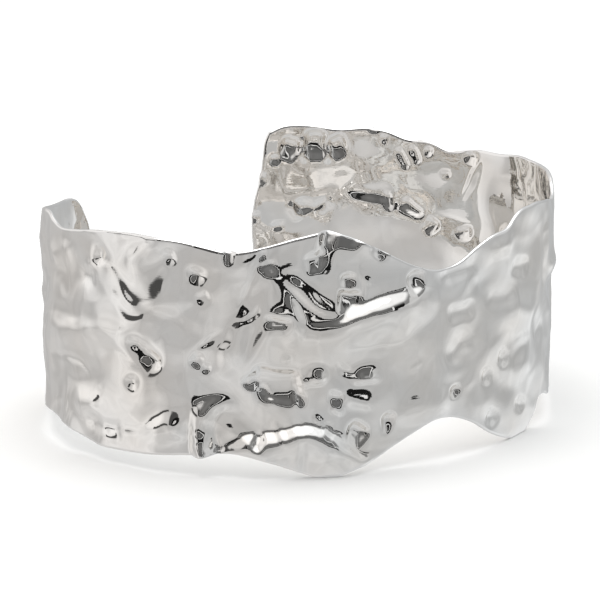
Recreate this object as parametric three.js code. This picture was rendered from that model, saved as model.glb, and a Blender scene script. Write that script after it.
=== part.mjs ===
// An open cuff bangle: one strip of thin metal sheet, crumpled, polished and bent round an oval.
// It lies with its lower edge down, and its gap is centred on +Y. Millimetres, +Z up.
// The origin is at the middle of the bounding box, on the surface that the cuff rests on.
//
// A place on the strip has two numbers: arc is the distance along the middle of the sheet from
// the front centre, positive towards +X, and height is measured up from the resting surface.

import * as THREE from 'three';

// Driving dimensions.
const halfWidth = 32.5;        // oval through the middle of the sheet, along X
const halfDepth = 28;          // the same oval, along Y
const sheetThickness = 0.5;
const restHeight = 0;          // the lower edge is dressed flat where it would dip under this
const columns = 120;           // mesh cells along the strip
const rows = 20;               // mesh cells across it
const ovalSteps = 4000;        // steps that measure half of the oval
const bowlRim = 1.4;           // where a dent or ridge ends, in widths squared
const bowlPower = 1.4;         // how round it is

const silver = { color: 0xd3d1ce, roughness: 0.08, metalness: 1 };

// How closely the mesh's columns stand, by arc: the front left is the most crumpled.
const columnDensity = readTable(['arc', 'share'], [
  [-82, 0.8], [-50, 0.9], [-36, 1.5], [-4, 1.5], [8, 0.9], [46, 0.8], [56, 1.1], [82, 1.1],
]);

// Upper edge, from the left end's corner to the right end's.
const upperEdge = readTable(['arc', 'height'], [
  [-79.6, 23.2], [-78.3, 24.35], [-76.8, 24.9], [-74.5, 25.15], [-68, 25.9], [-62, 27],
  [-57, 27.8], [-52.9, 26.8], [-48.5, 27.2], [-45, 27.8], [-40, 28.15], [-34, 27.9], [-30.1, 27.3],
  [-27.1, 26.9], [-24.3, 27.3], [-19.1, 28.6], [-16.5, 29], [-13.4, 28.3], [-10.4, 26.9],
  [-4.4, 23.9], [-1.7, 23.2], [1.2, 23.4], [3.9, 24.7], [6.9, 25.9], [10.3, 26.6], [11.7, 27.6],
  [15.7, 28.1], [22, 27.4], [28.4, 26.7], [30.2, 27.7], [38.8, 28.4], [43.6, 28.3], [47.8, 27.8],
  [51.2, 27.8], [56.2, 27.3], [58.3, 28], [62.1, 28.2], [64.4, 29], [66.7, 29.4], [70.5, 29.2],
  [75.9, 29.8], [78.2, 29.65], [80, 28.9],
]);

// Lower edge, corner to corner. It touches down on four short feet.
const lowerEdge = readTable(['arc', 'height'], [
  [-81.1, 0.88], [-79.7, 0.15], [-78, -0.1], [-76, -0.15], [-74.2, -0.05], [-70, 0.9], [-65, 2],
  [-60, 2.9], [-54.3, 3.4], [-50.2, 2.7], [-47, 2], [-41.5, 1.75], [-31.9, 2.45], [-26.1, 2.8],
  [-23.9, 2.3], [-20.5, 1.05], [-18.8, 0.4], [-17.6, -0.02], [-16.4, -0.1], [-15.2, -0.02],
  [-12.8, 0.65], [-10.3, 1.4], [-7.2, 2.9], [-4.6, 4.1], [-2.2, 5.05], [0.3, 5], [3.4, 3.9],
  [6.9, 1.8], [10.4, 0.35], [12, -0.05], [13.4, -0.2], [14.8, -0.05], [16, 0.5], [17, 1.45],
  [17.7, 2.6], [18.3, 3.4], [19.3, 3.55], [23.5, 2.6], [28, 2.2], [34, 2.5], [42, 1.9], [49, 2.6],
  [56, 2.3], [62, 1.3], [68, 1.4], [73.4, 0.1], [75, -0.1], [77, -0.15], [79.2, 0.05],
  [81.1, 0.88],
]);

// The two ends, from the lower corner up.
const leftEnd = readTable(['height', 'arc'], [
  [0.88, -81.1], [2.4, -81.7], [7, -82.1], [12, -82], [16, -81.8], [20.1, -81.1], [22.1, -80.3],
  [23.2, -79.6],
]);
const rightEnd = readTable(['height', 'arc'], [
  [0.88, 81.1], [2.2, 81.7], [6, 82], [11, 82.1], [17.4, 82.3], [19.9, 82], [23.1, 81.2],
  [26, 80.8], [27.8, 80.5], [28.9, 80],
]);

// Long shallow waves that run right across the sheet.
const waves = readTable(['length', 'turn', 'depth', 'phase'], [
  [17, 20, 0.14, 0.4],
  [11, 110, 0.1, 2.1],
  [7.5, 160, 0.06, 4],
  [6, 75, 0.04, 1.2],
]);

// Soft folds. Each has a straight crest of the given length through (arc, height), turned from
// the strip's own direction by turn degrees. It falls away over the widths above and below the
// crest and past its ends. Depth is outward, and negative where the sheet is pushed in.
const formColumns = ['arc', 'height', 'length', 'turn', 'above', 'below', 'ends', 'depth'];
const folds = readTable(formColumns, [
  [-19, 17, 5, 0, 5, 3, 3.5, 0.34],
  [-18.5, 17.3, 1.8, 0, 3.2, 2.5, 1.5, 0.34],
  [-21.7, 20.6, 1.4, 0, 3.4, 5, 1.8, 0.36],
  [-32.4, 6.8, 2.8, 42, 1.2, 1.4, 1.2, 0.42],
  [-37.6, 26.2, 3.4, 35, 1.4, 1.5, 1.5, 0.35],
  [-46.5, 15.3, 10, 8, 1.3, 2.2, 3, 0.34],
  [-53, 23.6, 3.4, 15, 1.5, 1.5, 1.5, 0.45],
  [-46.6, 6.6, 1.8, 10, 1.6, 1.6, 1.5, 0.45],
  [-4, 6.9, 4.4, 5, 1.5, 1.7, 1.7, 0.3],
  [1.3, 13.2, 1.4, 40, 1.6, 1.6, 1.6, -0.5],
  [18, 12.6, 2, -50, 1.5, 1.4, 1.5, -0.45],
  [8.8, 17.9, 1.6, -15, 1.4, 1.5, 1.5, -0.3],
  [24, 12, 2, 80, 1.5, 1.5, 1.8, 0.4],
]);

// Dents, written the same way, with the round bottom and the crisp rim that a ball tool leaves.
// Those on the back right are knocked outwards, from inside the cuff.
const dents = readTable(formColumns, [
  [-14.2, 29.8, 3.4, -8, 1.6, 2.5, 1, -0.85],
  [-17.7, 25.9, 0.8, 0, 0.7, 1.6, 0.9, -0.5],
  [-9.8, 26.9, 0.5, 30, 0.9, 1.5, 0.8, -0.55],
  [-27.2, 28.2, 0.2, 0, 1, 2.6, 0.6, -0.62],
  [-22, 11.9, 3.2, -6, 1.5, 2.7, 1.1, -0.78],
  [-8.5, 6.2, 0.3, 0, 0.7, 1.8, 0.8, -0.6],
  [-12.3, 5.2, 0.9, -30, 0.7, 1.6, 0.9, -0.78],
  [-5.4, 22.9, 0.5, 20, 0.7, 2, 0.9, -0.62],
  [-13.4, 21.6, 1.3, -12, 0.5, 2.1, 0.8, -0.8],
  [76.9, 27.4, 1, 24, 0.8, 2, 0.9, 0.74],
  [74, 28.2, 1.5, -3, 0.9, 2.9, 0.8, 0.92],
  [71.2, 27.7, 1, -18, 0.8, 2.2, 0.8, 0.78],
  [58, 17.4, 0.6, 30, 0.6, 1.5, 0.8, 0.58],
]);

// Long ridges, each along its own crest. Left and right are its widths to either hand of someone
// who walks along it.
const ridges = [
  [[-27.4, 2.8, 0.9, 3, 0.16], [-25.4, 3.5, 1.3, 3, 0.95], [-23.2, 3.8, 1.4, 3.5, 1.2],
    [-21, 4.4, 1.3, 4.5, 1.22], [-18.8, 5.1, 1.1, 5, 1.06], [-17, 4.7, 1.2, 5, 1.14],
    [-15.4, 3.4, 1.2, 4.5, 1.26], [-13.8, 2.3, 1.1, 3.5, 1.18], [-12.2, 1.7, 1, 3, 0.74],
    [-10.4, 1.6, 0.9, 3, 0.1]],
  [[-19.6, 18.7, 0.7, 2.5, 0.04], [-18.2, 17.8, 0.8, 2.5, 0.09], [-16.2, 17.8, 0.9, 2.5, 0.12],
    [-14.4, 18, 0.9, 2.8, 0.44], [-12.4, 18.5, 1.2, 3.2, 0.98], [-10.4, 18.9, 1.6, 3.5, 1.34],
    [-8.2, 19.2, 1.8, 3.6, 1.26], [-6.2, 19.6, 1.7, 3.4, 0.82], [-4.2, 20, 1.4, 3, 0.26]],
  [[-24.8, 26.4, 0.9, 3, 0.08], [-23.8, 25.2, 1.2, 3.4, 0.4], [-22.5, 23.4, 1.3, 3.6, 0.48],
    [-21.2, 21.2, 1.2, 3.6, 0.42], [-20.3, 19.4, 1.3, 3.2, 0.44], [-19.9, 17.9, 1.2, 2.4, 0.26],
    [-20.3, 17, 0.8, 1.6, 0.05]],
  [[-27.2, 8.6, 0.9, 0.9, 0.05], [-28.2, 8.9, 1, 1.2, 0.3], [-29.5, 8.4, 1.1, 1.4, 0.46],
    [-30.4, 7.1, 1.2, 1.4, 0.78], [-30.8, 5.5, 1.3, 1.3, 1.25], [-30.7, 3.9, 1.3, 1.3, 1.55],
    [-30.2, 2.4, 1.3, 1.3, 1.8]],
].map((crest) => readTable(['arc', 'height', 'left', 'right', 'depth'], crest));

function readTable(names, rowsOfNumbers) {
  return rowsOfNumbers.map((numbers) => {
    return Object.fromEntries(names.map((name, index) => [name, numbers[index]]));
  });
}

function mix(start, end, share) {
  return start + (end - start) * share;
}

// A smooth curve through a table's rows, with each row's slope taken from its neighbours.
function curveThrough(table, across, up) {
  const slopes = table.slice(1).map((row, index) => {
    return (row[up] - table[index][up]) / (row[across] - table[index][across]);
  });
  const last = table.length - 1;
  const tangents = table.map((row, index) => {
    if (index === 0) return slopes[0];
    if (index === last) return slopes[last - 1];
    const before = row[across] - table[index - 1][across];
    const after = table[index + 1][across] - row[across];
    return (after * slopes[index - 1] + before * slopes[index]) / (before + after);
  });
  return (place) => {
    let index = 0;
    while (index < last - 1 && table[index + 1][across] <= place) index += 1;
    const span = table[index + 1][across] - table[index][across];
    const share = (place - table[index][across]) / span;
    const square = share * share;
    const cube = square * share;
    return (2 * cube - 3 * square + 1) * table[index][up]
      + (cube - 2 * square + share) * span * tangents[index]
      + (3 * square - 2 * cube) * table[index + 1][up]
      + (cube - square) * span * tangents[index + 1];
  };
}

// Distance along the oval from the front centre to each step of the half turn.
function measureHalfOval() {
  const distances = [0];
  for (let step = 1; step <= ovalSteps; step += 1) {
    const before = (Math.PI * (step - 1)) / ovalSteps;
    const after = (Math.PI * step) / ovalSteps;
    const acrossStep = halfWidth * (Math.sin(after) - Math.sin(before));
    const backStep = halfDepth * (Math.cos(after) - Math.cos(before));
    distances.push(distances[step - 1] + Math.hypot(acrossStep, backStep));
  }
  return distances;
}

const ovalDistances = measureHalfOval();

// The point of the oval at a distance along it, with its outward direction.
function ovalAt(arc) {
  const distance = Math.abs(arc);
  let low = 0;
  let high = ovalSteps;
  while (high - low > 1) {
    const middle = Math.floor((low + high) / 2);
    if (ovalDistances[middle] > distance) high = middle;
    else low = middle;
  }
  const share = (distance - ovalDistances[low]) / (ovalDistances[high] - ovalDistances[low]);
  const turn = (Math.PI * (low + share)) / ovalSteps;
  const side = Math.sign(arc) || 1;
  const outward = new THREE.Vector2(Math.sin(turn) * halfDepth * side, -Math.cos(turn) * halfWidth);
  const point = new THREE.Vector2(Math.sin(turn) * halfWidth * side, -Math.cos(turn) * halfDepth);
  return { point, outward: outward.normalize() };
}

// How far a wave pushes the sheet outwards at a place.
function waveDepth(wave, arc, height) {
  const turn = THREE.MathUtils.degToRad(wave.turn);
  const along = arc * Math.cos(turn) + height * Math.sin(turn);
  return wave.depth * Math.sin((2 * Math.PI * along) / wave.length + wave.phase);
}

// How a soft fold, and a dent or ridge, fall away by the square of the distance in widths.
function softSide(square) {
  return Math.exp(-square);
}

function bowlSide(square) {
  return Math.max(0, 1 - square / bowlRim) ** bowlPower;
}

function formDepth(form, side, arc, height) {
  const turn = THREE.MathUtils.degToRad(form.turn);
  const right = arc - form.arc;
  const up = height - form.height;
  const along = right * Math.cos(turn) + up * Math.sin(turn);
  const across = up * Math.cos(turn) - right * Math.sin(turn);
  const pastEnd = Math.max(Math.abs(along) - form.length / 2, 0) / form.ends;
  const fromCrest = across > 0 ? across / form.above : across / form.below;
  return form.depth * side(pastEnd ** 2 + fromCrest ** 2);
}

// A ridge's depth at a place comes from the nearest stretch of its crest.
function ridgeDepth(crest, arc, height) {
  let nearest = Infinity;
  let depth = 0;
  for (let index = 1; index < crest.length; index += 1) {
    const start = crest[index - 1];
    const end = crest[index];
    const stepRight = end.arc - start.arc;
    const stepUp = end.height - start.height;
    const length = Math.hypot(stepRight, stepUp);
    const right = arc - start.arc;
    const up = height - start.height;
    const share = (right * stepRight + up * stepUp) / length ** 2;
    const onCrest = THREE.MathUtils.clamp(share, 0, 1);
    const pastEnd = (share - onCrest) * length;
    const across = (up * stepRight - right * stepUp) / length;
    const distance = Math.hypot(pastEnd, across);
    if (distance < nearest) {
      nearest = distance;
      const leftWidth = mix(start.left, end.left, onCrest);
      const rightWidth = mix(start.right, end.right, onCrest);
      const fromEnd = (2 * pastEnd) / (leftWidth + rightWidth);
      const fromCrest = across / (across > 0 ? leftWidth : rightWidth);
      depth = mix(start.depth, end.depth, onCrest) * bowlSide(fromEnd ** 2 + fromCrest ** 2);
    }
  }
  return depth;
}

function reliefAt(arc, height) {
  let depth = 0;
  for (const wave of waves) depth += waveDepth(wave, arc, height);
  for (const fold of folds) depth += formDepth(fold, softSide, arc, height);
  for (const dent of dents) depth += formDepth(dent, bowlSide, arc, height);
  for (const crest of ridges) depth += ridgeDepth(crest, arc, height);
  return depth;
}

// The flat outline's four sides, each from 0 to 1 along itself.
const upperCurve = curveThrough(upperEdge, 'arc', 'height');
const lowerCurve = curveThrough(lowerEdge, 'arc', 'height');
const leftCurve = curveThrough(leftEnd, 'height', 'arc');
const rightCurve = curveThrough(rightEnd, 'height', 'arc');

function alongUpper(share) {
  const arc = mix(upperEdge[0].arc, upperEdge.at(-1).arc, share);
  return { arc, height: upperCurve(arc) };
}

function alongLower(share) {
  const arc = mix(lowerEdge[0].arc, lowerEdge.at(-1).arc, share);
  return { arc, height: Math.max(lowerCurve(arc), restHeight) };
}

function alongEnd(table, curve, share) {
  const height = mix(table[0].height, table.at(-1).height, share);
  return { arc: curve(height), height };
}

// The share of the strip's length that lies before each column.
function measureColumns() {
  const density = curveThrough(columnDensity, 'arc', 'share');
  const first = columnDensity[0].arc;
  const last = columnDensity.at(-1).arc;
  const sums = [0];
  for (let step = 1; step <= ovalSteps; step += 1) {
    sums.push(sums[step - 1] + density(mix(first, last, step / ovalSteps)));
  }
  const shares = [];
  let step = 0;
  for (let column = 0; column <= columns; column += 1) {
    const wanted = (sums[ovalSteps] * column) / columns;
    while (step < ovalSteps - 1 && sums[step + 1] < wanted) step += 1;
    shares.push((step + (wanted - sums[step]) / (sums[step + 1] - sums[step])) / ovalSteps);
  }
  return shares;
}

const columnShares = measureColumns();

// A place inside the outline, blended from its four sides.
function placeOnStrip(column, row) {
  const across = columnShares[column];
  const up = row / rows;
  const lower = alongLower(across);
  const upper = alongUpper(across);
  const left = alongEnd(leftEnd, leftCurve, up);
  const right = alongEnd(rightEnd, rightCurve, up);
  const blend = (key) => {
    const lowerCorners = mix(alongLower(0)[key], alongLower(1)[key], across);
    const upperCorners = mix(alongUpper(0)[key], alongUpper(1)[key], across);
    const betweenEdges = mix(lower[key] - lowerCorners, upper[key] - upperCorners, up);
    return mix(left[key], right[key], across) + betweenEdges;
  };
  return { arc: blend('arc'), height: blend('height') };
}

// Both faces of the sheet as one grid each, joined round the rim.
function cuffGeometry() {
  const positions = [];
  const triangles = [];
  const facePoints = (columns + 1) * (rows + 1);

  for (const side of [1, -1]) {
    for (let row = 0; row <= rows; row += 1) {
      for (let column = 0; column <= columns; column += 1) {
        const { arc, height } = placeOnStrip(column, row);
        const { point, outward } = ovalAt(arc);
        const offset = reliefAt(arc, height) + (side * sheetThickness) / 2;
        positions.push(point.x + outward.x * offset, point.y + outward.y * offset, height);
      }
    }
  }

  const pointIndex = (face, column, row) => face * facePoints + row * (columns + 1) + column;
  const addQuad = (a, b, c, d) => triangles.push(a, b, c, a, c, d);

  for (let row = 0; row < rows; row += 1) {
    for (let column = 0; column < columns; column += 1) {
      const corners = [[column, row], [column + 1, row], [column + 1, row + 1], [column, row + 1]];
      addQuad(...corners.map(([c, r]) => pointIndex(0, c, r)));
      addQuad(...corners.map(([c, r]) => pointIndex(1, c, r)).reverse());
    }
  }

  const rim = [];
  for (let column = 0; column < columns; column += 1) rim.push([column, 0]);
  for (let row = 0; row < rows; row += 1) rim.push([columns, row]);
  for (let column = columns; column > 0; column -= 1) rim.push([column, rows]);
  for (let row = rows; row > 0; row -= 1) rim.push([0, row]);
  rim.forEach(([column, row], index) => {
    const [nextColumn, nextRow] = rim[(index + 1) % rim.length];
    addQuad(
      pointIndex(1, column, row),
      pointIndex(1, nextColumn, nextRow),
      pointIndex(0, nextColumn, nextRow),
      pointIndex(0, column, row),
    );
  });

  const geometry = new THREE.BufferGeometry();
  geometry.setAttribute('position', new THREE.Float32BufferAttribute(positions, 3));
  geometry.setIndex(triangles);
  geometry.computeBoundingBox();
  const middle = geometry.boundingBox.getCenter(new THREE.Vector3());
  geometry.translate(-middle.x, -middle.y, 0);
  geometry.computeVertexNormals();
  return geometry;
}

const cuff = new THREE.Mesh(cuffGeometry(), new THREE.MeshStandardMaterial(silver));
cuff.name = 'cuff';

const bangle = new THREE.Group();
bangle.name = 'bangle';
bangle.add(cuff);

export default bangle;
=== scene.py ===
import math

import bpy
import numpy as np
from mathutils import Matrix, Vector


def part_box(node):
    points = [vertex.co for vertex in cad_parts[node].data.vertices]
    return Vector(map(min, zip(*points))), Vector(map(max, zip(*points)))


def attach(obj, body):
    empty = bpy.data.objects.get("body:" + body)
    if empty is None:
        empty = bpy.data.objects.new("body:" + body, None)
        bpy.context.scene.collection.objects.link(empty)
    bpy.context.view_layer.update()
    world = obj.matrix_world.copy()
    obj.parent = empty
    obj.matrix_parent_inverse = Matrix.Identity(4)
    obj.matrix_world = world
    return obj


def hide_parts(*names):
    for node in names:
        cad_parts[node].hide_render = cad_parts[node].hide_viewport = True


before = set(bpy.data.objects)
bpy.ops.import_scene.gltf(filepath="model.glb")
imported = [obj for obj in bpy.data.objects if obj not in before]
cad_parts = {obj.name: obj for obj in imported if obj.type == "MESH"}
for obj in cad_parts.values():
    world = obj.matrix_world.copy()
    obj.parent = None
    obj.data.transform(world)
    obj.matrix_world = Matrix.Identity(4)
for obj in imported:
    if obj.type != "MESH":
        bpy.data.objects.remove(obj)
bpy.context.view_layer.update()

# An open cuff bangle: one strip of crumpled, polished sheet bent round an oval, gap towards +Y.
# A place on the strip is its arc, in mm along the sheet from the front centre, and its height.

mm = 0.001                     # in metres

cuff = {
    "halfWidth": 32.5,         # oval through the middle of the sheet, mm along X
    "halfDepth": 28.0,         # the same oval along Y
    "sheet": 0.5,              # thickness, mm
    "rimRound": 0.15,          # how far the polished rim is rounded in, mm
    "rimSteps": 4,             # strips of faces round the rim
    "restHeight": 0.0,         # the lower edge is dressed flat where it would dip under this
    "columns": 500,            # mesh cells along the strip
    "rows": 92,                # mesh cells across it
    "ovalSteps": 4000,         # steps that measure half of the oval
    "densitySteps": 3280,      # steps that add up the mesh's density
    "seed": 11,
}

# A bowl-shaped form ends at bowlRim, in widths squared, and bowlPower sets how round it is.
bowlRim = 1.4
bowlPower = 1.4

# How far each kind of form reaches, in its own widths.
softReach = 3.0
bowlReach = 1.2
pinchReach = 1.0

# Where a ridge bends, how sharply its nearest stretch wins, per mm.
nearestStretch = 5


def readTable(names, rows):
    columns = np.array(rows, dtype=float).T
    return dict(zip(names.split(), columns))


# Where the mesh is finest: the front left and the inside of the back right are worked most.
meshDensity = readTable("arc share", [
    (-82, 0.8), (-60, 0.9), (-50, 1.2), (-36, 1.7), (-4, 1.7), (6, 1.1), (30, 0.8), (46, 0.9),
    (52, 1.4), (79, 1.5), (82, 1.1),
])

upperEdge = readTable("arc height", [
    (-79.6, 23.2), (-78.3, 24.35), (-76.8, 24.9), (-74.5, 25.15), (-68, 25.9), (-62, 27), (-57, 27.8),
    (-52.9, 26.8), (-48.5, 27.2), (-45, 27.8), (-40, 28.15), (-34, 27.9), (-30.1, 27.3), (-27.1, 26.9),
    (-24.3, 27.3), (-19.1, 28.6), (-16.5, 29), (-13.4, 28.3), (-10.4, 26.9), (-4.4, 23.9), (-1.7, 23.2),
    (1.2, 23.4), (3.9, 24.7), (6.9, 25.9), (10.3, 26.6), (11.7, 27.6), (15.7, 28.1), (22, 27.4),
    (28.4, 26.7), (30.2, 27.7), (38.8, 28.4), (43.6, 28.3), (47.8, 27.8), (51.2, 27.8), (56.2, 27.3),
    (58.3, 28), (62.1, 28.2), (64.4, 29), (66.7, 29.4), (70.5, 29.2), (75.9, 29.8), (78.2, 29.65),
    (80, 28.9),
])

lowerEdge = readTable("arc height", [
    (-81.1, 0.88), (-79.7, 0.15), (-78, -0.1), (-76, -0.15), (-74.2, -0.05), (-70, 0.9), (-65, 2),
    (-60, 2.9), (-54.3, 3.4), (-50.2, 2.7), (-47, 2), (-41.5, 1.75), (-31.9, 2.45), (-26.1, 2.8),
    (-23.9, 2.3), (-20.5, 1.05), (-18.8, 0.4), (-17.6, -0.02), (-16.4, -0.1), (-15.2, -0.02),
    (-12.8, 0.65), (-10.3, 1.4), (-7.2, 2.9), (-4.6, 4.1), (-2.2, 5.05), (0.3, 5), (3.4, 3.9),
    (6.9, 1.8), (10.4, 0.35), (12, -0.05), (13.4, -0.2), (14.8, -0.05), (16, 0.5), (17, 1.45),
    (17.7, 2.6), (18.3, 3.4), (19.3, 3.55), (23.5, 2.6), (28, 2.2), (34, 2.5), (42, 1.9), (49, 2.6),
    (56, 2.3), (62, 1.3), (68, 1.4), (73.4, 0.1), (75, -0.1), (77, -0.15), (79.2, 0.05), (81.1, 0.88),
])

leftEnd = readTable("height arc", [
    (0.88, -81.1), (2.4, -81.7), (7, -82.1), (12, -82), (16, -81.8), (20.1, -81.1), (22.1, -80.3),
    (23.2, -79.6),
])
rightEnd = readTable("height arc", [
    (0.88, 81.1), (2.2, 81.7), (6, 82), (11, 82.1), (17.4, 82.3), (19.9, 82), (23.1, 81.2), (26, 80.8),
    (27.8, 80.5), (28.9, 80),
])

# Long shallow waves across the whole sheet.
waves = readTable("length turn depth phase", [
    (17, 20, 0.14, 0.4),
    (11, 110, 0.1, 2.1),
    (7.5, 160, 0.06, 4),
    (6, 75, 0.04, 1.2),
])

# Soft folds: a straight crest through (arc, height), turned in degrees from the strip's direction,
# that falls away over the widths above and below it and past its ends. Depth is outward.
formColumns = "arc height length turn above below ends depth"
folds = readTable(formColumns, [
    (-19, 17, 5, 0, 5, 3, 3.5, 0.34),
    (-18.5, 17.3, 1.8, 0, 3.2, 2.5, 1.5, 0.34),
    (-21.7, 20.6, 1.4, 0, 3.4, 5, 1.8, 0.36),
    (-32.4, 6.8, 2.8, 42, 1.2, 1.4, 1.2, 0.42),
    (-37.6, 26.2, 3.4, 35, 1.4, 1.5, 1.5, 0.35),
    (-46.5, 15.3, 10, 8, 1.3, 2.2, 3, 0.34),
    (-36, 25, 2.4, 0, 2.4, 2.4, 2.2, 0.2),
    (-38.4, 15.2, 0.7, -40, 0.8, 0.9, 0.8, -0.58),
    (-36.9, 13.7, 0.9, -35, 0.8, 1, 0.9, -0.62),
    (-39.3, 10.5, 0.3, 0, 0.7, 0.9, 0.7, -0.44),
    (-44.3, 24.9, 0.6, 60, 0.8, 1.1, 0.8, -0.66),
    (-46.7, 22, 0.7, 0, 1, 1.1, 1, -0.32),
    (-45.4, 4.5, 0.7, 30, 0.9, 1, 0.9, -0.32),
    (-42.4, 4.2, 0.6, 0, 0.9, 1, 0.9, -0.32),
    (-34.2, 25.8, 0.4, -60, 0.5, 0.7, 0.6, -0.3),
    (-31.2, 24.1, 0.5, -10, 0.6, 0.8, 0.7, -0.36),
    (-30.6, 21.4, 0.9, 35, 0.5, 0.7, 0.5, -0.28),
    (-35.4, 5.6, 1.4, 30, 1.3, 1.3, 1.5, 0.26),
    (-53, 23.6, 3.4, 15, 1.5, 1.5, 1.5, 0.45),
    (-46.6, 6.6, 1.8, 10, 1.6, 1.6, 1.5, 0.45),
    (-26.7, 16.6, 1.6, 65, 0.95, 1.8, 3.2, 0.52),
    (-23.2, 17, 1.4, 60, 0.8, 1.6, 3, 0.42),
    (-4, 6.9, 4.4, 5, 1.5, 1.7, 1.7, 0.3),
    (2, 22.6, 4, 10, 1.2, 1.2, 1.3, -0.38),
    (1.3, 13.2, 1.4, 40, 1.6, 1.6, 1.6, -0.5),
    (18, 12.6, 2, -50, 1.5, 1.4, 1.5, -0.45),
    (8.8, 17.9, 1.6, -15, 1.4, 1.5, 1.5, -0.3),
    (61.5, 17.6, 15, 18, 1.2, 2.6, 1.8, -0.24),
    (-12.4, 8.7, 1.8, -22, 1, 0.9, 0.9, 0.24),
    (8.9, 24.4, 1.6, 5, 1.1, 1.1, 1.1, 0.3),
    (6, 21.5, 3, 40, 1.6, 1.6, 1.6, -0.2),
    (-3, 15.5, 3, 20, 1.8, 1.8, 1.8, 0.2),
    (13.5, 15.5, 3, -30, 1.8, 1.8, 1.8, 0.22),
    (12.5, 9, 4, 5, 1.4, 1.6, 1.6, 0.25),
    (22, 22.5, 1, 85, 1.2, 1.2, 1.6, 0.3),
    (20, 18.5, 1, 80, 1.2, 1.2, 1.6, -0.3),
    (24, 12, 2, 80, 1.5, 1.5, 1.8, 0.4),
    (23, 7, 1, 70, 1.2, 1.2, 1.4, -0.4),
    (25.5, 18.5, 1, 0, 1.3, 1.3, 1.8, 0.45),
    (25, 16, 1, 0, 1.1, 1.1, 1.8, -0.35),
])

# Crisp dents, knocked in (or, on the back wall, out) with a ball tool: bowl shaped with a sharp rim.
dents = readTable(formColumns, [
    (-14.2, 29.8, 3.4, -8, 1.6, 2.5, 1, -0.85),
    (-17.7, 25.9, 0.8, 0, 0.7, 1.6, 0.9, -0.5),
    (-9.8, 26.9, 0.5, 30, 0.9, 1.5, 0.8, -0.55),
    (-27.2, 28.2, 0.2, 0, 1, 2.6, 0.6, -0.62),
    (-22, 11.9, 3.2, -6, 1.5, 2.7, 1.1, -0.78),
    (-25.1, 11.9, 1, 40, 0.5, 1.2, 0.6, -0.42),
    (-23.2, 10.3, 0.9, -55, 0.5, 0.6, 0.6, -0.3),
    (-19.6, 10.4, 0.4, 80, 0.6, 0.5, 0.6, -0.26),
    (-19.4, 9.9, 0.2, 0, 0.4, 1.1, 0.6, -0.38),
    (-14.9, 9.5, 0.6, -25, 0.5, 0.9, 0.6, -0.26),
    (-8.5, 6.2, 0.3, 0, 0.7, 1.8, 0.8, -0.6),
    (-24.2, 4.3, 0.9, 58, 0.6, 0.7, 0.5, -0.62),
    (-12.3, 5.2, 0.9, -30, 0.7, 1.6, 0.9, -0.78),
    (-5.4, 22.9, 0.5, 20, 0.7, 2, 0.9, -0.62),
    (-13.7, 23.3, 0.3, 10, 0.5, 1.2, 0.7, -0.52),
    (-13.4, 21.6, 1.3, -12, 0.5, 2.1, 0.8, -0.8),
    (-31.3, 14, 0.7, 50, 0.5, 0.9, 0.5, -0.34),
    (-30.2, 13.1, 0.4, -20, 0.4, 0.6, 0.4, -0.2),
    (-23.1, 25.6, 0.6, 10, 0.4, 1.2, 0.7, -0.22),
    (6.2, 8.9, 0.4, 70, 0.9, 1, 0.9, -0.36),
    (9.6, 10.5, 0.8, -40, 0.8, 1, 0.7, -0.38),
    (7.5, 3.7, 0.8, -40, 0.9, 1.2, 0.9, -0.36),
    (13.4, 4, 0.6, -30, 0.8, 1.1, 0.8, -0.3),
    (0.6, 8.3, 0.3, 0, 0.6, 0.9, 0.7, -0.5),
    (2, 17.8, 2, 0, 1, 1.5, 1.2, -0.3),
    (13, 21.2, 2.2, -15, 0.9, 1.3, 1.1, -0.28),
    (76.9, 27.4, 1, 24, 0.8, 2, 0.9, 0.74),
    (74, 28.2, 1.5, -3, 0.9, 2.9, 0.8, 0.92),
    (71.2, 27.7, 1, -18, 0.8, 2.2, 0.8, 0.78),
    (75.4, 26.6, 2.2, 72, 0.5, 0.6, 0.6, -0.3),
    (72.4, 26.6, 2.2, 84, 0.5, 0.6, 0.6, -0.28),
    (75.4, 19.3, 0.6, 20, 0.7, 1.4, 0.9, 0.48),
    (73.3, 19, 0.9, -15, 0.6, 1.5, 0.9, 0.46),
    (76.5, 18.6, 1.4, 52, 0.5, 0.8, 0.7, -0.4),
    (72.8, 18.9, 1.3, -40, 0.5, 0.8, 0.7, -0.4),
    (66.6, 20.8, 3.8, 2, 1, 1.2, 1.2, 0.14),
    (64.1, 19.6, 0.9, 80, 0.5, 0.7, 0.7, 0.28),
    (60.9, 19.4, 1.8, 34, 0.5, 1, 0.6, 0.36),
    (58, 17.4, 0.6, 30, 0.6, 1.5, 0.8, 0.58),
    (53.4, 16.6, 0.6, -20, 0.6, 1.1, 0.7, 0.45),
    (52.3, 26.8, 0.7, 0, 0.7, 1.1, 0.8, 0.48),
    (62.2, 25.7, 1.8, 60, 0.4, 0.6, 0.5, 0.3),
    (60.6, 26.2, 1.4, 60, 0.4, 0.6, 0.5, 0.26),
    (58.7, 26.8, 0.2, 0, 0.5, 0.8, 0.5, 0.26),
    (65, 28.2, 0.2, 0, 0.3, 0.8, 0.4, 0.26),
    (66.4, 29.8, 0.7, 0, 0.5, 1.1, 0.5, 0.36),
    (81, 22.8, 0.3, 90, 0.6, 1.6, 0.5, 0.4),
    (78.6, 16.6, 0.3, 90, 0.4, 1.2, 0.4, 0.3),
    (82, 18, 0.2, 0, 0.4, 0.9, 0.5, 0.3),
    (79.3, 25.5, 0.4, 0, 0.4, 0.8, 0.5, 0.3),
    (56, 24.3, 0.4, -20, 0.4, 0.6, 0.5, 0.2),
])

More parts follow.
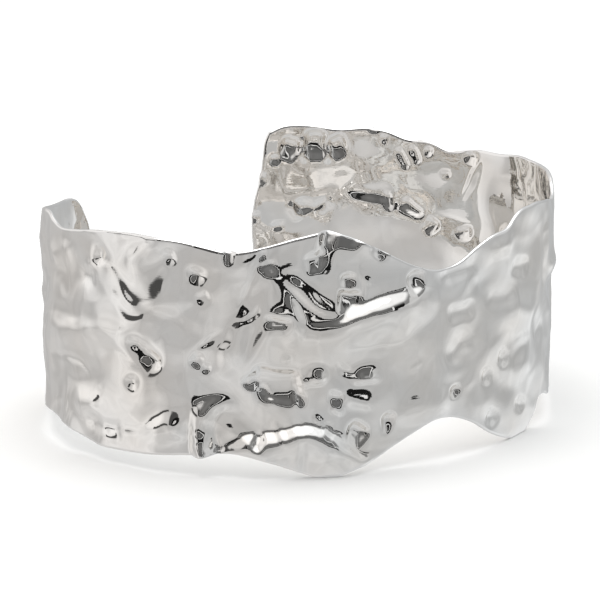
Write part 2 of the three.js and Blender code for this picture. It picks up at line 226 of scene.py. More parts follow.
# Pinches: small ridges with a sharp crest, or a valley where the depth is negative.
pinches = readTable(formColumns, [
    (-11.3, 11.3, 0.9, 0, 2.5, 0.8, 2, 0.66),
    (-17.1, 11.5, 0.5, 10, 2.8, 0.7, 1.2, 0.66),
    (-18.5, 11.4, 0.9, 10, 1.2, 0.6, 0.8, 0.28),
    (-21.7, 19.1, 1, -12, 0.9, 2.4, 1.5, -0.86),
    (-14.9, 8, 0.8, -25, 1.4, 0.8, 0.7, 0.26),
    (-20.9, 14.4, 0.3, 0, 0.9, 0.5, 0.5, 0.16),
    (-11.3, 22.8, 0.4, -30, 0.8, 0.5, 0.5, 0.14),
    (-39.2, 27.9, 2, 2, 0.6, 0.5, 0.8, 0.14),
    (-5, 12.2, 0.8, 30, 1, 0.8, 0.8, 0.1),
])

# Long ridges, each along its own crest; left and right are its widths to either hand.
crestColumns = "arc height left right depth"
ridges = [readTable(crestColumns, rows) for rows in [
    [(-27.4, 2.8, 0.9, 3, 0.16), (-25.4, 3.5, 1.3, 3, 0.95), (-23.2, 3.8, 1.4, 3.5, 1.2),
     (-21, 4.4, 1.3, 4.5, 1.22), (-18.8, 5.1, 1.1, 5, 1.06), (-17, 4.7, 1.2, 5, 1.14),
     (-15.4, 3.4, 1.2, 4.5, 1.26), (-13.8, 2.3, 1.1, 3.5, 1.18), (-12.2, 1.7, 1, 3, 0.74),
     (-10.4, 1.6, 0.9, 3, 0.1)],
    [(-19.6, 18.7, 0.7, 2.5, 0.04), (-18.2, 17.8, 0.8, 2.5, 0.09), (-16.2, 17.8, 0.9, 2.5, 0.12),
     (-14.4, 18, 0.9, 2.8, 0.44), (-12.4, 18.5, 1.2, 3.2, 0.98), (-10.4, 18.9, 1.6, 3.5, 1.34),
     (-8.2, 19.2, 1.8, 3.6, 1.26), (-6.2, 19.6, 1.7, 3.4, 0.82), (-4.2, 20, 1.4, 3, 0.26)],
    [(-24.8, 26.4, 0.9, 3, 0.08), (-23.8, 25.2, 1.2, 3.4, 0.4), (-22.5, 23.4, 1.3, 3.6, 0.48),
     (-21.2, 21.2, 1.2, 3.6, 0.42), (-20.3, 19.4, 1.3, 3.2, 0.44), (-19.9, 17.9, 1.2, 2.4, 0.26),
     (-20.3, 17, 0.8, 1.6, 0.05)],
    [(-27.2, 8.6, 0.9, 0.9, 0.05), (-28.2, 8.9, 1, 1.2, 0.3), (-29.5, 8.4, 1.1, 1.4, 0.46),
     (-30.4, 7.1, 1.2, 1.4, 0.78), (-30.8, 5.5, 1.3, 1.3, 1.25), (-30.7, 3.9, 1.3, 1.3, 1.55),
     (-30.2, 2.4, 1.3, 1.3, 1.8)],
]]

# Narrow creases and grooves, written the same way.
creases = [readTable(crestColumns, rows) for rows in [
    [(-21.4, 24.4, 0.8, 0.5, 0.04), (-20.5, 23.4, 1.1, 0.5, 0.26), (-18.9, 21.8, 1.2, 0.6, 0.36),
     (-17.6, 20.6, 1.2, 0.6, 0.38), (-16.3, 19.9, 1, 0.6, 0.2), (-15.4, 19.6, 0.8, 0.6, 0.03)],
    [(-12.9, 23.6, 0.4, 0.5, -0.04), (-12.1, 22.6, 0.4, 0.6, -0.2), (-11.9, 21.2, 0.4, 0.6, -0.22),
     (-12.7, 19.9, 0.4, 0.5, -0.06)],
    [(-15.2, 29.9, 1.1, 1.2, -0.9), (-16, 27.8, 1, 1.1, -0.7), (-16.5, 26.2, 1, 1.1, -0.48),
     (-16.4, 24.6, 0.8, 0.9, -0.1)],
    [(-26.9, 18.5, 0.3, 0.4, -0.04), (-25.4, 19, 0.3, 0.5, -0.1), (-24.1, 20.3, 0.3, 0.6, -0.16),
     (-23.9, 20.9, 0.3, 0.3, -0.03)],
    [(-31.6, 14.9, 0.3, 0.4, -0.03), (-30.6, 15.7, 0.3, 0.6, -0.18), (-29.2, 16.9, 0.3, 0.6, -0.18),
     (-28.2, 17.7, 0.3, 0.4, -0.03)],
    [(-23.4, 26.9, 0.3, 0.5, -0.15), (-24.2, 25.4, 0.3, 0.5, -0.15), (-25, 23.2, 0.3, 0.5, -0.15),
     (-25.8, 21.6, 0.3, 0.5, -0.15), (-26.3, 20.2, 0.3, 0.4, -0.02)],
    [(-29.2, 5.1, 0.4, 0.4, -0.06), (-28.9, 4.3, 0.4, 0.5, -0.25), (-28.4, 3.2, 0.4, 0.5, -0.25)],
    [(-22.4, 6.6, 0.4, 0.5, 0.03), (-21.6, 5.4, 0.4, 0.5, 0.2), (-21.2, 4.3, 0.4, 0.4, 0.05)],
    [(-19.9, 6.9, 0.4, 0.4, -0.03), (-19.2, 5.9, 0.4, 0.5, -0.2), (-18.9, 5.1, 0.4, 0.4, -0.04)],
    [(-17.9, 7.6, 0.5, 0.6, 0.05), (-17, 6.6, 0.5, 0.7, 0.34), (-16.2, 5.4, 0.5, 0.6, 0.06)],
    [(-15.2, 5.2, 0.4, 0.4, 0.03), (-14.3, 4.3, 0.4, 0.5, 0.18), (-13.8, 3.6, 0.4, 0.4, 0.03)],
    [(-20.9, 5.6, 0.2, 0.3, 0.02), (-19.6, 6, 0.2, 0.3, 0.07), (-18.2, 6.3, 0.2, 0.3, 0.02)],
    [(-17.2, 6.5, 0.3, 0.4, -0.04), (-16.4, 6.3, 0.3, 0.5, -0.18), (-15.4, 6.4, 0.3, 0.4, -0.03)],
    [(-23.9, 10.6, 0.3, 0.4, 0.04), (-23, 9.9, 0.4, 0.5, 0.22), (-22.2, 8.9, 0.3, 0.4, 0.05)],
    [(-20.4, 10.2, 0.3, 0.3, 0.03), (-20, 9.5, 0.3, 0.4, 0.16), (-20.2, 8.8, 0.3, 0.3, 0.02)],
    [(-80.2, 21.6, 0.2, 0.3, 0.02), (-80, 18, 0.3, 0.3, 0.07), (-80.3, 12, 0.2, 0.3, 0.02)],
    [(-78.6, 23.6, 0.2, 0.3, -0.02), (-78.4, 19, 0.3, 0.3, -0.08), (-78.8, 13, 0.2, 0.3, -0.02)],
    [(-77.2, 24.2, 0.2, 0.3, 0.02), (-76.9, 20, 0.3, 0.3, 0.08), (-77.3, 15, 0.2, 0.3, 0.02)],
    [(-75.4, 24.4, 0.3, 0.3, -0.02), (-75.1, 21, 0.3, 0.4, -0.09), (-75.4, 17, 0.2, 0.3, -0.02)],
    [(-73.5, 24.8, 0.2, 0.3, 0.02), (-73.2, 21.5, 0.3, 0.3, 0.07), (-73.4, 18, 0.2, 0.3, 0.02)],
    [(-71.8, 25.1, 0.3, 0.3, -0.02), (-71.4, 22, 0.3, 0.4, -0.09), (-71.9, 18.5, 0.3, 0.3, -0.02)],
    [(-70.3, 25.3, 0.3, 0.3, 0.02), (-70, 22.4, 0.3, 0.4, 0.08), (-70.2, 19, 0.3, 0.3, 0.02)],
    [(-68.6, 25.5, 0.3, 0.3, -0.02), (-68.9, 22.8, 0.4, 0.4, -0.12), (-68.2, 19.5, 0.3, 0.3, -0.02)],
    [(-66.8, 25.8, 0.3, 0.3, 0.02), (-66.5, 23.2, 0.3, 0.4, 0.1), (-67, 20, 0.3, 0.3, 0.02)],
    [(-64.9, 26.2, 0.3, 0.3, -0.02), (-64.7, 23.5, 0.3, 0.4, -0.1), (-65.2, 20.5, 0.3, 0.3, -0.02)],
    [(-63.3, 26.6, 0.3, 0.3, 0.02), (-63, 24.4, 0.3, 0.4, 0.1), (-63.5, 21.5, 0.3, 0.3, 0.02)],
    [(-61.6, 27, 0.3, 0.3, -0.02), (-61.9, 24.6, 0.3, 0.4, -0.12), (-61.4, 22.5, 0.3, 0.3, -0.02)],
    [(-59.9, 27.3, 0.3, 0.3, 0.02), (-59.6, 25.2, 0.3, 0.4, 0.09), (-60.1, 23, 0.3, 0.3, 0.02)],
    [(-58.2, 27.5, 0.3, 0.3, -0.02), (-58.5, 25.6, 0.3, 0.4, -0.1), (-58, 23.6, 0.3, 0.3, -0.02)],
    [(-14.8, 13.4, 0.4, 0.5, -0.06), (-14, 12.6, 0.4, 0.6, -0.24), (-13.2, 12.2, 0.4, 0.5, -0.08)],
    [(57.6, 18.6, 0.3, 0.4, 0.04), (55, 18, 0.3, 0.5, 0.12), (52.2, 17.4, 0.3, 0.4, 0.02)],
    [(51.2, 26.2, 0.5, 0.6, -0.06), (52, 24, 0.6, 0.9, -0.24), (53.3, 21.4, 0.5, 0.6, -0.05)],
    [(-41.6, 14, 0.4, 0.5, -0.04), (-40.2, 13.3, 0.4, 0.6, -0.14), (-38.4, 12.3, 0.4, 0.5, -0.04)],
    [(-55, 10.9, 0.4, 0.5, -0.04), (-51, 11.4, 0.4, 0.6, -0.14), (-48, 11.1, 0.4, 0.6, -0.14),
     (-46.6, 10.3, 0.4, 0.5, -0.04)],
]]

# Uneven skin left by hammering and heat: size and depth of its hills in mm, how far each layer is
# crumpled into sharp crests (0 to 1), and its seed.
ripples = readTable("size depth crumple seed", [
    (6.5, 0.24, 0, 1),
    (3.4, 0.09, 0, 2),
    (1.8, 0.022, 0, 3),
    (8, 0.16, 1, 4),
    (4.6, 0.08, 1, 5),
])

# Each layer of the skin is bent by a broader one, and its sharp crests are rounded a little.
skinBend = {
    "size": 1.6,               # of the bending hills, in the layer's own size
    "seedStep": 20,
    "crestRound": 0.004,
}

# How much of that skin each stretch of the strip carries.
worked = readTable("arc share", [
    (-82, 0.9), (-60, 1.2), (-42, 1.05), (-30, 0.85), (-20, 0.5), (-6, 0.4), (8, 0.5), (20, 0.9),
    (34, 0.55), (50, 0.28), (82, 0.28),
])

# The drawn forms stray from their places, along the strip and then across it, by broad and fine
# noise. Sizes are in mm.
strays = [
    {"broad": 2.6, "broadSeed": 41, "fine": 1.1, "fineSeed": 43},
    {"broad": 2.4, "broadSeed": 42, "fine": 1.1, "fineSeed": 44},
]
strayDepth = 0.24              # mm
fineStray = 0.3                # share of the fine noise

# The lattice of random values behind all this noise, and the lattice point where a place starts.
lattice = {"rows": 64, "columns": 256, "firstRow": 8, "firstColumn": 128}

# Polishing wears the rim most, and the two faces carry different marks.
wornRim = {
    "lowerReach": 81,          # the lower edge is read no further than this to either side
    "endArc": 82.1,            # where the two ends stand
    "fade": 0.5,               # mm
    "faceGap": 40,             # mm from the middle of the sheet to each face's own marks
}


def mix(start, end, share):
    return start + (end - start) * share


def curveThrough(table, across, up):
    # a smooth curve through a table's rows, each row's slope taken from its neighbours
    xs, ys = table[across], table[up]
    spans = np.diff(xs)
    slopes = np.diff(ys) / spans
    inner = (spans[1:] * slopes[:-1] + spans[:-1] * slopes[1:]) / (spans[1:] + spans[:-1])
    tangents = np.concatenate([slopes[:1], inner, slopes[-1:]])

    def at(place):
        index = np.clip(np.searchsorted(xs, place, side="right") - 1, 0, len(xs) - 2)
        share = (place - xs[index]) / spans[index]
        square, cube = share ** 2, share ** 3
        return ((2 * cube - 3 * square + 1) * ys[index]
                + (cube - 2 * square + share) * spans[index] * tangents[index]
                + (3 * square - 2 * cube) * ys[index + 1]
                + (cube - square) * spans[index] * tangents[index + 1])

    return at


def ovalAt(arc):
    # the oval's point and outward direction at a distance along it
    halfWidth, halfDepth = cuff["halfWidth"], cuff["halfDepth"]
    steps = np.linspace(0, math.pi, cuff["ovalSteps"] + 1)
    across = halfWidth * np.sin(steps)
    back = -halfDepth * np.cos(steps)
    distance = np.concatenate([[0], np.cumsum(np.hypot(np.diff(across), np.diff(back)))])
    turn = np.interp(np.abs(arc), distance, steps)
    side = np.where(arc < 0, -1.0, 1.0)
    point = np.stack([side * halfWidth * np.sin(turn), -halfDepth * np.cos(turn)], -1)
    outward = np.stack([side * halfDepth * np.sin(turn), -halfWidth * np.cos(turn)], -1)
    return point, outward / np.linalg.norm(outward, axis=-1, keepdims=True)


def softSide(square):
    return np.exp(-square)


def bowlSide(square):
    return np.maximum(0, 1 - square / bowlRim) ** bowlPower


def pinchSide(square):
    return np.maximum(0, 1 - np.sqrt(square)) ** 2


def addForms(depth, table, side, reach, arc, height):
    # adds a table of forms to the depth, each only where it reaches
    for row in zip(*table.values()):
        formArc, formHeight, length, turn, above, below, ends, push = row
        far = reach * max(above, below, ends) + length / 2
        near = (abs(arc - formArc) < far) & (abs(height - formHeight) < far)
        cosTurn = math.cos(math.radians(turn))
        sinTurn = math.sin(math.radians(turn))
        right, up = arc[near] - formArc, height[near] - formHeight
        along = right * cosTurn + up * sinTurn
        across = up * cosTurn - right * sinTurn
        pastEnd = np.maximum(abs(along) - length / 2, 0) / ends
        fromCrest = across / np.where(across > 0, above, below)
        depth[near] += push * side(pastEnd ** 2 + fromCrest ** 2)


def crestLine(table, step=0.4):
    # the crest's rows smoothed into points about a step apart
    corner = np.hypot(np.diff(table["arc"]), np.diff(table["height"]))
    table = dict(table, walked=np.concatenate([[0], np.cumsum(corner)]))
    walked = np.arange(0, table["walked"][-1] + step / 2, step)
    walked[-1] = table["walked"][-1]
    names = crestColumns.split()
    return np.stack([curveThrough(table, "walked", name)(walked) for name in names], -1)


def addRidge(depth, table, arc, height):
    # adds a ridge to the depth, blended between the nearest stretches of its crest
    line = crestLine(table)
    far = bowlReach * line[:, 2:4].max()
    low, high = line[:, :2].min(0) - far, line[:, :2].max(0) + far
    near = (arc > low[0]) & (arc < high[0]) & (height > low[1]) & (height < high[1])
    x, y = arc[near], height[near]
    distances, pushes = [], []
    for start, end in zip(line[:-1], line[1:]):
        stepX, stepY = end[:2] - start[:2]
        length = math.hypot(stepX, stepY)
        share = ((x - start[0]) * stepX + (y - start[1]) * stepY) / length ** 2
        onCrest = np.clip(share, 0, 1)
        past = (share - onCrest) * length
        across = ((y - start[1]) * stepX - (x - start[0]) * stepY) / length
        left, right, push = [mix(here, there, onCrest) for here, there in zip(start[2:], end[2:])]
        fromEnd = 2 * past / (left + right)
        fromCrest = across / np.where(across > 0, left, right)
        square = fromEnd ** 2 + fromCrest ** 2
        distances.append(np.hypot(past, across))
        pushes.append(push * bowlSide(square))
    distances = np.array(distances)
    weights = np.exp(nearestStretch * (distances.min(0) - distances))
    depth[near] += (weights * np.array(pushes)).sum(0) / weights.sum(0)


def wavesDepth(arc, height):
    depth = np.zeros_like(arc)
    for length, turn, push, phase in zip(*waves.values()):
        turn = math.radians(turn)
        along = arc * math.cos(turn) + height * math.sin(turn)
        depth += push * np.sin(2 * math.pi * along / length + phase)
    return depth


def smoothNoise(arc, height, size, seed):
    # soft random hills about size mm apart, between -1 and 1
    rows, columns = lattice["rows"], lattice["columns"]
    values = np.random.RandomState(seed).uniform(-1, 1, (rows, columns))
    x = arc / size + lattice["firstColumn"]
    y = height / size + lattice["firstRow"]
    column, row = np.floor(x).astype(int), np.floor(y).astype(int)
    across, up = [share ** 3 * (share * (share * 6 - 15) + 10) for share in (x - column, y - row)]
    lower, upper = [
        mix(values[(row + step) % rows, column % columns],
            values[(row + step) % rows, (column + 1) % columns], across)
        for step in (0, 1)
    ]
    return mix(lower, upper, up)


def ripplesDepth(arc, height):
    depth = np.zeros_like(arc)
    for size, push, crumple, seed in zip(*ripples.values()):
        seed = int(seed) + cuff["seed"]
        bend = size * smoothNoise(arc, height, size * skinBend["size"], seed + skinBend["seedStep"])
        hills = smoothNoise(arc + bend, height - bend, size, seed)
        folded = 1 - 2 * np.sqrt(hills ** 2 + skinBend["crestRound"])
        depth += push * mix(hills, folded, crumple)
    withinTable = np.clip(arc, worked["arc"][0], worked["arc"][-1])
    return depth * curveThrough(worked, "arc", "share")(withinTable)


def strayPlaces(arc, height):
    # the places read a little off, so that the drawn forms don't look ruled
    moved = []
    for place, stray in zip((arc, height), strays):
        broad = smoothNoise(arc, height, stray["broad"], stray["broadSeed"])
        fine = smoothNoise(arc, height, stray["fine"], stray["fineSeed"])
        moved.append(place + strayDepth * (broad + fineStray * fine))
    return moved


def reliefAt(arc, height):
    # how far the sheet stands outward of the oval
    depth = wavesDepth(arc, height) + ripplesDepth(arc, height)
    arc, height = strayPlaces(arc, height)
    addForms(depth, folds, softSide, softReach, arc, height)
    addForms(depth, dents, bowlSide, bowlReach, arc, height)
    addForms(depth, pinches, pinchSide, pinchReach, arc, height)
    for ridge in ridges + creases:
        addRidge(depth, ridge, arc, height)
    return depth


def outlineLoop(columns, rows):
    # the strip's outline once round, from the lower left corner, as places (arc, height)
    steps = cuff["densitySteps"] + 1
    fine = np.linspace(meshDensity["arc"][0], meshDensity["arc"][-1], steps)
    total = np.cumsum(np.interp(fine, meshDensity["arc"], meshDensity["share"]))
    wanted = np.linspace(total[0], total[-1], columns + 1)
    share = np.interp(wanted, total, np.linspace(0, 1, steps))
    lowerArc = mix(lowerEdge["arc"][0], lowerEdge["arc"][-1], share)
    upperArc = mix(upperEdge["arc"][0], upperEdge["arc"][-1], share)
    lowerHeight = np.maximum(curveThrough(lowerEdge, "arc", "height")(lowerArc), cuff["restHeight"])
    lower = np.stack([lowerArc, lowerHeight], -1)
    upper = np.stack([upperArc, curveThrough(upperEdge, "arc", "height")(upperArc)], -1)
    ends = []
    for table in (leftEnd, rightEnd):
        heights = np.linspace(table["height"][0], table["height"][-1], rows + 1)
        ends.append(np.stack([curveThrough(table, "height", "arc")(heights), heights], -1))
    left, right = ends
    return np.concatenate([lower[:-1], right[:-1], upper[:0:-1], left[:0:-1]]), share


def insetLoop(loop, inset):
    # the same outline moved inwards, square to itself
    along = np.roll(loop, -1, axis=0) - np.roll(loop, 1, axis=0)
    along /= np.linalg.norm(along, axis=1, keepdims=True)
    inward = np.stack([-along[:, 1], along[:, 0]], -1)
    return loop + inward * inset


def fillGrid(loop, share, columns, rows):
    # places inside an outline, blended from its four sides
    lower = loop[:columns + 1]
    right = loop[columns:columns + rows + 1]
    upper = loop[columns + rows:2 * columns + rows + 1][::-1]
    left = np.concatenate([loop[2 * columns + rows:], loop[:1]])[::-1]
    across = share[None, :, None]
    up = np.linspace(0, 1, rows + 1)[:, None, None]
    betweenEnds = mix(left[:, None], right[:, None], across)
    lowerPart = lower[None] - mix(lower[0], lower[-1], across)
    upperPart = upper[None] - mix(upper[0], upper[-1], across)
    return betweenEnds + mix(lowerPart, upperPart, up)


def toSpace(places, throughSheet):
    # bends flat places round the oval; throughSheet runs from the inner face to the outer
    arc, height = places[..., 0], places[..., 1]
    point, outward = ovalAt(arc)
    offset = reliefAt(arc, height) + throughSheet
    return np.concatenate([point + outward * offset[..., None], height[..., None]], -1)


def buildCuff():
    # both faces as one grid each, joined by a rounded rim, and the oval's centre on the floor
    columns, rows = cuff["columns"], cuff["rows"]
    half = cuff["sheet"] / 2
    loop, share = outlineLoop(columns, rows)
    grid = fillGrid(insetLoop(loop, cuff["rimRound"]), share, columns, rows)
    faceCount = (columns + 1) * (rows + 1)
    points = [toSpace(grid, half).reshape(-1, 3), toSpace(grid, -half).reshape(-1, 3)]
    places = [grid.reshape(-1, 2), grid.reshape(-1, 2)]

    index = np.arange(faceCount).reshape(rows + 1, columns + 1)
    corners = [index[:-1, :-1], index[:-1, 1:], index[1:, 1:], index[1:, :-1]]
    quads = np.stack(corners, -1).reshape(-1, 4)
    faces = [quads, quads[:, ::-1] + faceCount]

    border = np.concatenate([index[0, :-1], index[:-1, -1], index[-1, :0:-1], index[:0:-1, 0]])
    rings = [border]
    first = 2 * faceCount
    for step in range(1, cuff["rimSteps"]):
        turn = math.pi * step / cuff["rimSteps"]
        ring = insetLoop(loop, cuff["rimRound"] * (1 - math.sin(turn)))
        points.append(toSpace(ring, half * math.cos(turn)))
        places.append(ring)
        rings.append(first + np.arange(len(ring)))
        first += len(ring)
    rings.append(border + faceCount)
    for outer, inner in zip(rings[:-1], rings[1:]):
        faces.append(np.stack([inner, np.roll(inner, -1), np.roll(outer, -1), outer], -1))

    points = np.concatenate(points)
    places = np.concatenate(places)
    low, high = points.min(0), points.max(0)
    boxLow, boxHigh = [np.array(corner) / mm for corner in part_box("cuff")]
    print("cuff skin", (high - low).round(3), "solid", (boxHigh - boxLow).round(3))
    ovalCentre = ((boxLow + boxHigh) / 2 - (low + high) / 2)[:2]
    points[:, :2] += ovalCentre

    mesh = bpy.data.meshes.new("cuffSkin")
    mesh.from_pydata((points * mm).tolist(), [], np.concatenate(faces).tolist())
    mesh.polygons.foreach_set("use_smooth", np.ones(len(mesh.polygons), dtype=bool))
    wear = mesh.attributes.new("rimWear", "FLOAT", "POINT")
    wear.data.foreach_set("value", rimWear(places))
    stripPlace = mesh.attributes.new("stripPlace", "FLOAT_VECTOR", "POINT")
    rimCount = len(points) - 2 * faceCount
    side = np.concatenate([np.ones(faceCount), -np.ones(faceCount), np.zeros(rimCount)])
    marks = np.column_stack([places, wornRim["faceGap"] * side])
    stripPlace.data.foreach_set("vector", marks.ravel())
    piece = bpy.data.objects.new("cuff_skin", mesh)
    bpy.context.scene.collection.objects.link(piece)
    return piece, ovalCentre


def rimWear(places):
    # 1 on the rim, where polishing has rubbed most, falling to 0 about 1.5 mm in
    arc, height = places[:, 0], places[:, 1]
    upperArc = np.clip(arc, upperEdge["arc"][0], upperEdge["arc"][-1])
    lowerArc = np.clip(arc, -wornRim["lowerReach"], wornRim["lowerReach"])
    fromUpper = curveThrough(upperEdge, "arc", "height")(upperArc) - height
    fromLower = height - curveThrough(lowerEdge, "arc", "height")(lowerArc)
    fromEnd = wornRim["endArc"] - np.abs(arc)
    nearest = np.minimum(np.minimum(fromUpper, fromLower), fromEnd)
    return np.exp(-np.maximum(nearest, 0) / wornRim["fade"])


def linear(hexColour):
    # an sRGB colour as linear values
    channels = [int(hexColour[i:i + 2], 16) / 255 for i in (1, 3, 5)]
    return [c / 12.92 if c <= 0.04045 else ((c + 0.055) / 1.055) ** 2.4 for c in channels] + [1.0]


def addNode(tree, kind, settings, inputs):
    # a shader node whose inputs are values or other nodes' sockets
    node = tree.nodes.new(kind)
    for name, value in settings.items():
        setattr(node, name, value)
    for name, value in inputs.items():
        if isinstance(value, bpy.types.NodeSocket):
            tree.links.new(value, node.inputs[name])
        else:
            node.inputs[name].default_value = value
    return node


# Silver plate over brass, buffed to a mirror: it gives back the studio almost unchanged, a little
# warmer where the plate is thin, with faint buffing hairlines along the strip.
silverPlate = {
    "plate": "#F6F5F3",
    "warmPlate": "#F4F0EB",
    "rimPlate": "#F7F6F5",
    "warmPatch": 9.0,          # mm across a patch of warmer plate
    "warmRange": (0.35, 0.7),  # of its noise
    "roughness": 0.025,
    "hazeRoughness": 0.07,
    "hazePatch": 3.5,          # mm across a patch of haze
    "hazeRange": (0.45, 0.8),  # of its noise
    "hairline": 0.16,          # mm between buffing lines, drawn coarser than real ones
    "hairlineDepth": 0.0012,   # mm
    "hairlineStretch": 0.04,   # their width as a share of their length
    "grain": 0.7,              # mm, orange peel left under the plate
    "grainDepth": 0.0035,      # mm
}


def makeSilverPlate():
    look = silverPlate
    material = bpy.data.materials.new("silverPlateBuffed")
    material.use_nodes = True
    tree = material.node_tree
    tree.nodes.clear()
    place = addNode(tree, "ShaderNodeAttribute", {"attribute_name": "stripPlace"}, {})
    wear = addNode(tree, "ShaderNodeAttribute", {"attribute_name": "rimWear"}, {})

    def noise(vector, size, detail):
        node = addNode(tree, "ShaderNodeTexNoise", {"noise_dimensions": "3D"}, {
            "Vector": vector, "Scale": 1 / size, "Detail": detail})
        return node.outputs["Fac"]

    def blend(share, colour, otherColour):
        return addNode(tree, "ShaderNodeMix", {"data_type": "RGBA"}, {
            0: share, 6: colour, 7: otherColour}).outputs[2]

    def bump(height, depth, under):
        return addNode(tree, "ShaderNodeBump", {}, {
            "Strength": 1.0, "Distance": depth * mm, "Height": height, **under}).outputs[0]

    vector = place.outputs["Vector"]
    warmFrom, warmTo = look["warmRange"]
    warmth = addNode(tree, "ShaderNodeMapRange", {}, {
        "Value": noise(vector, look["warmPatch"], 3.0), "From Min": warmFrom, "From Max": warmTo})
    plate = blend(warmth.outputs[0], linear(look["plate"]), linear(look["warmPlate"]))
    colour = blend(wear.outputs["Fac"], plate, linear(look["rimPlate"]))
    hazeFrom, hazeTo = look["hazeRange"]
    roughness = addNode(tree, "ShaderNodeMapRange", {}, {
        "Value": noise(vector, look["hazePatch"], 4.0), "From Min": hazeFrom, "From Max": hazeTo,
        "To Min": look["roughness"], "To Max": look["hazeRoughness"]})
    stretched = addNode(tree, "ShaderNodeMapping", {}, {
        "Vector": vector, "Scale": (look["hairlineStretch"], 1.0, 1.0)})
    hairlines = noise(stretched.outputs[0], look["hairline"], 1.0)
    grainBump = bump(noise(vector, look["grain"], 2.0), look["grainDepth"], {})
    hairBump = bump(hairlines, look["hairlineDepth"], {"Normal": grainBump})
    metal = addNode(tree, "ShaderNodeBsdfPrincipled", {}, {
        "Metallic": 1.0, "Base Color": colour, "Roughness": roughness.outputs[0],
        "Normal": hairBump})
    addNode(tree, "ShaderNodeOutputMaterial", {}, {"Surface": metal.outputs[0]})
    return material


# The studio: a white tent, open at the front where the camera looks in. Turns are degrees to the
# right of the camera, rises degrees above the horizon. Each card covers the ones before it.
studio = {
    "cameraTurn": -38.5,
    "cameraRise": 14.0,
    "cameraDistance": 450.0,   # mm
    "focalLength": 219.7,      # mm
    "sensorWidth": 36.0,       # mm
    "clipNear": 0.01,          # m
    "clipFar": 20.0,           # m
    "aim": (0.0, 0.0, 14.67),  # mm from the oval's centre on the floor
    "dropAim": 0.885,          # mm, how far the aim sits below that place in the frame
    "floorColour": "#F7F7F6",
    "floorHalf": 4.0,          # m, half of the floor's side
    "leftCloth": (1.0, 0.985, 0.975, 1.0),     # a little rose, seen in the left half
    "rightCloth": (0.975, 0.99, 1.0, 1.0),     # a little blue, seen in the right half
    "clothTurns": (-70.0, 80.0),               # degrees over which one becomes the other
    "baseLevel": 0.5,
    "drapeLevel": 0.10,        # how unevenly the cloth glows
    "drapeScale": 3.5,
    "drapeRange": (0.3, 0.7),  # of its noise
    "seenColour": (1.0, 1.0, 1.0, 1.0),        # what the camera sees behind the cuff
}
cardColumns = "turnFrom turnTo riseFrom riseTo sideSoft lowSoft highSoft level"
cards = [
    (-400, 400, -95, -8, 1, 1, 26, 0.644),             # table
    (-400, 400, 0, 95, 1, 26, 1, 0.696),               # tent wall
    (-400, 400, 38, 95, 1, 16, 1, 1.061),              # tent's upper wall
    (-158, -52, -14, 72, 30, 22, 30, 0.922),           # soft light from the left
    (70, 170, -60, -8, 40, 30, 14, 0.8),               # brighter table to the right
    (62, 130, 0, 32, 20, 10, 14, 0.62),                # dimmer wall to the right
    (-104, -48, -50, 0, 26, 20, 9, 0.853),             # brighter table to the left
    (-80, -50, -3, 7, 2, 3, 2, 0.07),                  # dark slot under the left wall
    (44, 80, 15, 48, 6, 6, 12, 0.25),                  # gray card beside the opening
    (-48, 20, 2, 42, 4, 2, 14, 0.07),                  # soft left edge of the opening
    (-36, 56, 1.5, 42, 0.6, 0.6, 14, 0.009),           # the opening's black border
    (-30, 52, 9, 44, 0.3, 0.3, 14, 0.8),               # a white line inside it
    (-28.2, 47.6, 11.2, 44, 0.3, 0.3, 14, 0.009),      # a black line inside that
    (-26.2, 46, 13.8, 44, 0.4, 0.4, 14, 0.131),        # the dim room beyond
    (-24, 44, 20, 46, 10, 8, 14, 0.174),               # its slightly lighter upper part
    (-3, 3, 14.5, 20, 0.5, 0.5, 0.5, 0.017),           # the camera
    (4.2, 6.4, 17, 19.6, 0.3, 0.3, 0.3, 0.696),        # a small bright thing beside it
    (-400, 400, 60, 95, 1, 8, 1, 3.1),                 # lamp over the tent's roof
]


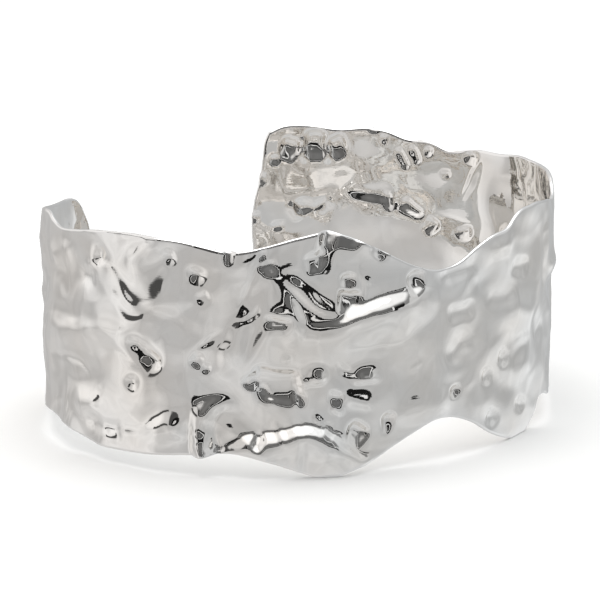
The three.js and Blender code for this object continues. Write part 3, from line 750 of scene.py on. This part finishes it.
def makeStudio():
    world = bpy.data.worlds.new("whiteTent")
    bpy.context.scene.world = world
    world.use_nodes = True
    tree = world.node_tree
    tree.nodes.clear()
    toward = addNode(tree, "ShaderNodeTexCoord", {}, {})
    turned = addNode(tree, "ShaderNodeVectorRotate", {"rotation_type": "Z_AXIS"}, {
        "Vector": toward.outputs["Generated"], "Angle": -math.radians(studio["cameraTurn"])})
    parts = addNode(tree, "ShaderNodeSeparateXYZ", {}, {0: turned.outputs[0]})

    def calculate(operation, *values):
        inputs = dict(enumerate(values))
        return addNode(tree, "ShaderNodeMath", {"operation": operation}, inputs).outputs[0]

    toFront = calculate("MULTIPLY", parts.outputs[1], -1.0)
    turn = calculate("DEGREES", calculate("ARCTAN2", parts.outputs[0], toFront))
    rise = calculate("DEGREES", calculate("ARCSINE", parts.outputs[2]))

    light = addNode(tree, "ShaderNodeValue", {}, {})
    light.outputs[0].default_value = studio["baseLevel"]
    level = light.outputs[0]
    for card in cards:
        size = dict(zip(cardColumns.split(), card))
        edges = [
            (turn, size["turnFrom"], size["turnFrom"] + size["sideSoft"], 0.0, 1.0),
            (turn, size["turnTo"] - size["sideSoft"], size["turnTo"], 1.0, 0.0),
            (rise, size["riseFrom"], size["riseFrom"] + size["lowSoft"], 0.0, 1.0),
            (rise, size["riseTo"] - size["highSoft"], size["riseTo"], 1.0, 0.0),
        ]
        cover = None
        for source, start, end, startValue, endValue in edges:
            edge = addNode(tree, "ShaderNodeMapRange", {"interpolation_type": "SMOOTHSTEP"}, {
                "Value": source, "From Min": start, "From Max": end,
                "To Min": startValue, "To Max": endValue}).outputs[0]
            cover = edge if cover is None else calculate("MULTIPLY", cover, edge)
        level = addNode(tree, "ShaderNodeMix", {"data_type": "FLOAT"}, {
            0: cover, 2: level, 3: size["level"]}).outputs[0]

    drape = addNode(tree, "ShaderNodeTexNoise", {}, {
        "Vector": toward.outputs["Generated"], "Scale": studio["drapeScale"], "Detail": 2.0})
    drapeFrom, drapeTo = studio["drapeRange"]
    glow = addNode(tree, "ShaderNodeMapRange", {}, {
        "Value": drape.outputs["Fac"], "From Min": drapeFrom, "From Max": drapeTo,
        "To Min": 1 - studio["drapeLevel"], "To Max": 1 + studio["drapeLevel"]})
    level = calculate("MULTIPLY", level, glow.outputs[0])
    clothFrom, clothTo = studio["clothTurns"]
    side = addNode(tree, "ShaderNodeMapRange", {"interpolation_type": "SMOOTHSTEP"}, {
        "Value": turn, "From Min": clothFrom, "From Max": clothTo})
    cloth = addNode(tree, "ShaderNodeMix", {"data_type": "RGBA"}, {
        0: side.outputs[0], 6: studio["leftCloth"], 7: studio["rightCloth"]})
    tent = addNode(tree, "ShaderNodeMix", {"data_type": "RGBA", "blend_type": "MULTIPLY"}, {
        0: 1.0, 6: cloth.outputs[2], 7: level})
    seen = addNode(tree, "ShaderNodeLightPath", {}, {})
    shown = addNode(tree, "ShaderNodeMix", {"data_type": "RGBA"}, {
        0: seen.outputs["Is Camera Ray"], 6: tent.outputs[2], 7: studio["seenColour"]})
    background = addNode(tree, "ShaderNodeBackground", {}, {
        "Color": shown.outputs[2], "Strength": 1.0})
    addNode(tree, "ShaderNodeOutputWorld", {}, {"Surface": background.outputs[0]})


def makeFloor():
    # a matt pale floor that the cuff's own reflections leave out
    half = studio["floorHalf"]
    corners = [(-half, -half, 0), (half, -half, 0), (half, half, 0), (-half, half, 0)]
    mesh = bpy.data.meshes.new("studioFloor")
    mesh.from_pydata(corners, [], [(0, 1, 2, 3)])
    floor = bpy.data.objects.new("studioFloor", mesh)
    bpy.context.scene.collection.objects.link(floor)
    material = bpy.data.materials.new("matteAcrylicSheet")
    material.use_nodes = True
    tree = material.node_tree
    tree.nodes.clear()
    sheet = addNode(tree, "ShaderNodeBsdfDiffuse", {}, {"Color": linear(studio["floorColour"])})
    addNode(tree, "ShaderNodeOutputMaterial", {}, {"Surface": sheet.outputs[0]})
    floor.visible_glossy = False
    mesh.materials.append(material)


def makeCamera(ovalCentre):
    turn = math.radians(studio["cameraTurn"])
    rise = math.radians(studio["cameraRise"])
    level = math.cos(rise)
    back = Vector((math.sin(turn) * level, -math.cos(turn) * level, math.sin(rise)))
    aim = Vector(studio["aim"]) + Vector((ovalCentre[0], ovalCentre[1], 0))
    camera = bpy.data.objects.new("studioCamera", bpy.data.cameras.new("studioCamera"))
    bpy.context.scene.collection.objects.link(camera)
    camera.location = (aim + back * studio["cameraDistance"]) * mm
    sideways = Vector((math.cos(turn), math.sin(turn), 0))
    up = back.cross(sideways)
    lowered = (aim - up * studio["dropAim"]) * mm
    camera.rotation_euler = (lowered - camera.location).to_track_quat("-Z", "Y").to_euler()
    camera.data.lens = studio["focalLength"]
    camera.data.sensor_width = studio["sensorWidth"]
    camera.data.clip_start = studio["clipNear"]
    camera.data.clip_end = studio["clipFar"]
    bpy.context.scene.camera = camera


scene = bpy.context.scene
scene.view_settings.view_transform = "Standard"
scene.view_settings.look = "None"

skin, ovalCentre = buildCuff()
skin.data.materials.append(makeSilverPlate())
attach(skin, "root")
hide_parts("cuff")
print("cuff built:", len(skin.data.polygons), "faces, oval centre", ovalCentre.round(3))

makeStudio()
makeFloor()
makeCamera(ovalCentre)
print("studio, floor and camera set")
